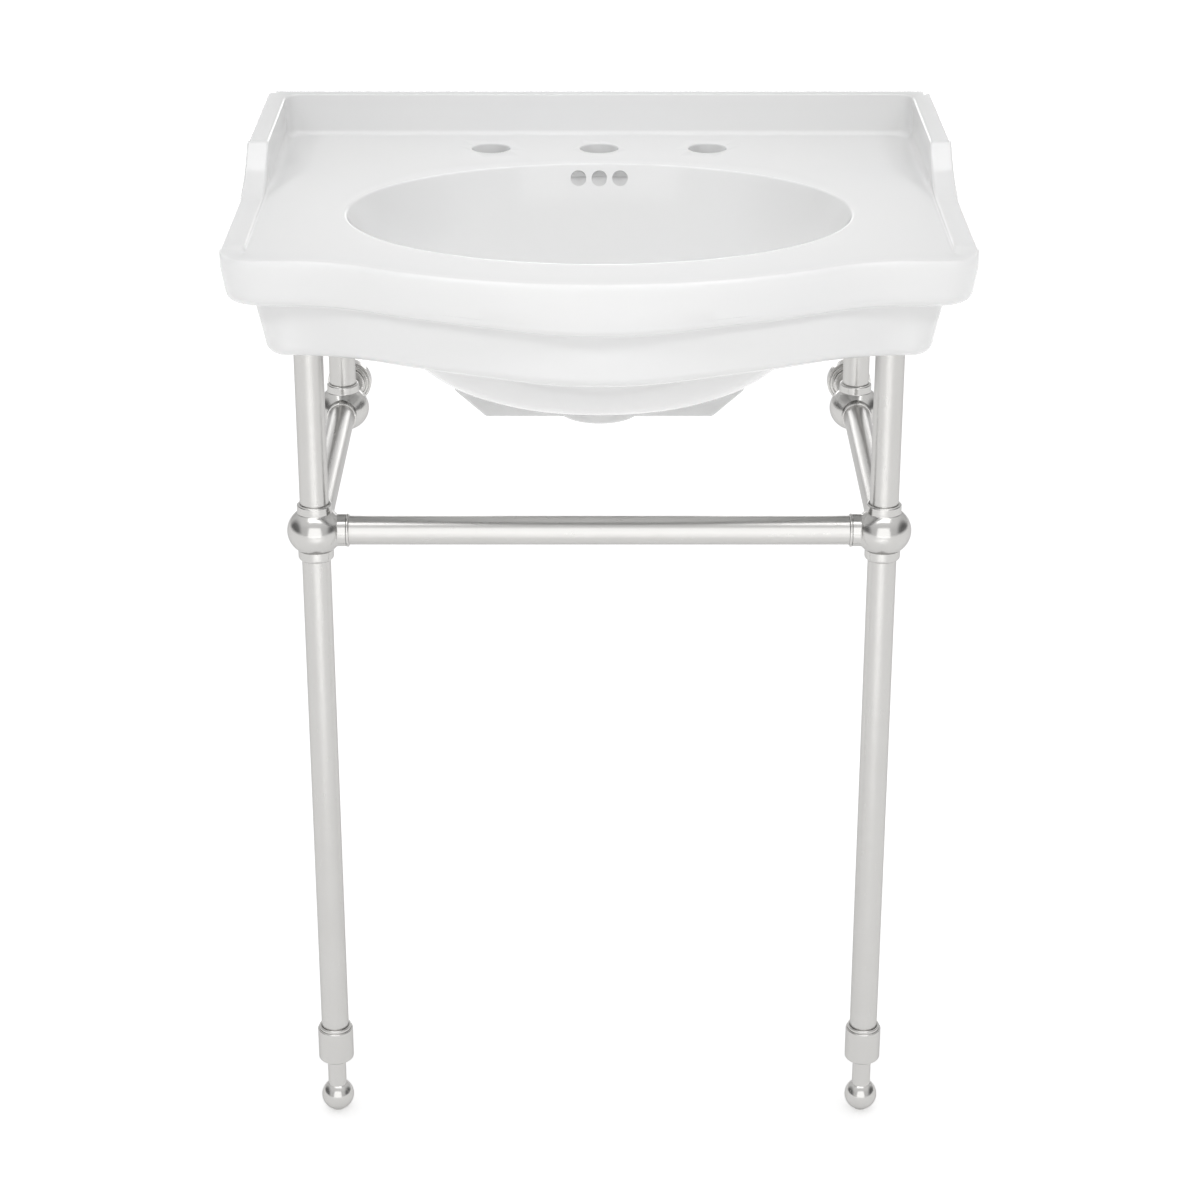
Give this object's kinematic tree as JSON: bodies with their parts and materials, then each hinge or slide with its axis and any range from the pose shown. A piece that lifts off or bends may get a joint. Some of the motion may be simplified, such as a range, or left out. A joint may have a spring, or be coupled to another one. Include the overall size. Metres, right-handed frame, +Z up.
{
  "type": "console sink with legs",
  "caption": "Wall-hung ceramic console basin with a bow front and raised back, on two metal front legs with ball fittings, a front towel rail and side rails to the wall.",
  "frame": {"origin": "on the floor, under the middle of the overall width and depth", "axes": "+Z up, the basin's front faces -Y, the wall is the plane at the greatest Y, +X to the right seen from the front"},
  "size_m": [0.635, 0.516, 0.889],
  "materials": {
    "white_ceramic": "gloss glaze",
    "satin_nickel_tube": "satin nickel plate",
    "nickel_fitting": "polished nickel plate",
    "brass_insert": "machined",
    "nylon_glide": "moulded",
    "plug_plastic": "moulded",
    "rubber_pad": "moulded",
    "zinc_plate": "zinc plate",
    "screw_steel": "machined"
  },
  "bodies": {
    "console": {"basin": "white_ceramic", "front_rail": "satin_nickel_tube", "front_leg_upper_left": "satin_nickel_tube", "front_leg_lower_left": "satin_nickel_tube", "back_upright_left": "satin_nickel_tube", "side_rail_left": "satin_nickel_tube", "wall_stub_left": "satin_nickel_tube", "front_ball_left": "nickel_fitting", "back_ball_left": "nickel_fitting", "front_leg_collar_left": "nickel_fitting", "back_upright_collar_left": "nickel_fitting", "lower_leg_collar_left": "nickel_fitting", "front_rail_collar_left": "nickel_fitting", "side_rail_front_collar_left": "nickel_fitting", "side_rail_back_collar_left": "nickel_fitting", "wall_stub_collar_left": "nickel_fitting", "foot_ferrule_left": "nickel_fitting", "foot_insert_left": "brass_insert", "front_top_plug_left": "plug_plastic", "front_top_pad_left": "rubber_pad", "back_top_plug_left": "plug_plastic", "back_top_pad_left": "rubber_pad", "wall_plate_left": "zinc_plate", "ball_set_screws_left": "screw_steel", "front_leg_upper_right": "satin_nickel_tube", "front_leg_lower_right": "satin_nickel_tube", "back_upright_right": "satin_nickel_tube", "side_rail_right": "satin_nickel_tube", "wall_stub_right": "satin_nickel_tube", "front_ball_right": "nickel_fitting", "back_ball_right": "nickel_fitting", "front_leg_collar_right": "nickel_fitting", "back_upright_collar_right": "nickel_fitting", "lower_leg_collar_right": "nickel_fitting", "front_rail_collar_right": "nickel_fitting", "side_rail_front_collar_right": "nickel_fitting", "side_rail_back_collar_right": "nickel_fitting", "wall_stub_collar_right": "nickel_fitting", "foot_ferrule_right": "nickel_fitting", "foot_insert_right": "brass_insert", "front_top_plug_right": "plug_plastic", "front_top_pad_right": "rubber_pad", "back_top_plug_right": "plug_plastic", "back_top_pad_right": "rubber_pad", "wall_plate_right": "zinc_plate", "ball_set_screws_right": "screw_steel"},
    "leveling_foot_left": {"leveling_foot_left": "nickel_fitting", "foot_glide_left": "nylon_glide"},
    "wall_flange_left": {"wall_flange_left": "nickel_fitting", "flange_set_screw_left": "screw_steel"},
    "leveling_foot_right": {"leveling_foot_right": "nickel_fitting", "foot_glide_right": "nylon_glide"},
    "wall_flange_right": {"wall_flange_right": "nickel_fitting", "flange_set_screw_right": "screw_steel"}
  },
  "joints": [
    {"name": "leveling_foot_left_adjust", "type": "slide", "parent": "console", "child": "leveling_foot_left", "axis": [0, 0, -1], "range_m": [-0.012, 0.01]},
    {"name": "leveling_foot_right_adjust", "type": "slide", "parent": "console", "child": "leveling_foot_right", "axis": [0, 0, -1], "range_m": [-0.012, 0.01]},
    {"name": "wall_flange_left_slide", "type": "slide", "parent": "console", "child": "wall_flange_left", "axis": [0, -1, 0], "range_m": [0, 0.036]},
    {"name": "wall_flange_right_slide", "type": "slide", "parent": "console", "child": "wall_flange_right", "axis": [0, -1, 0], "range_m": [0, 0.036]}
  ]
}
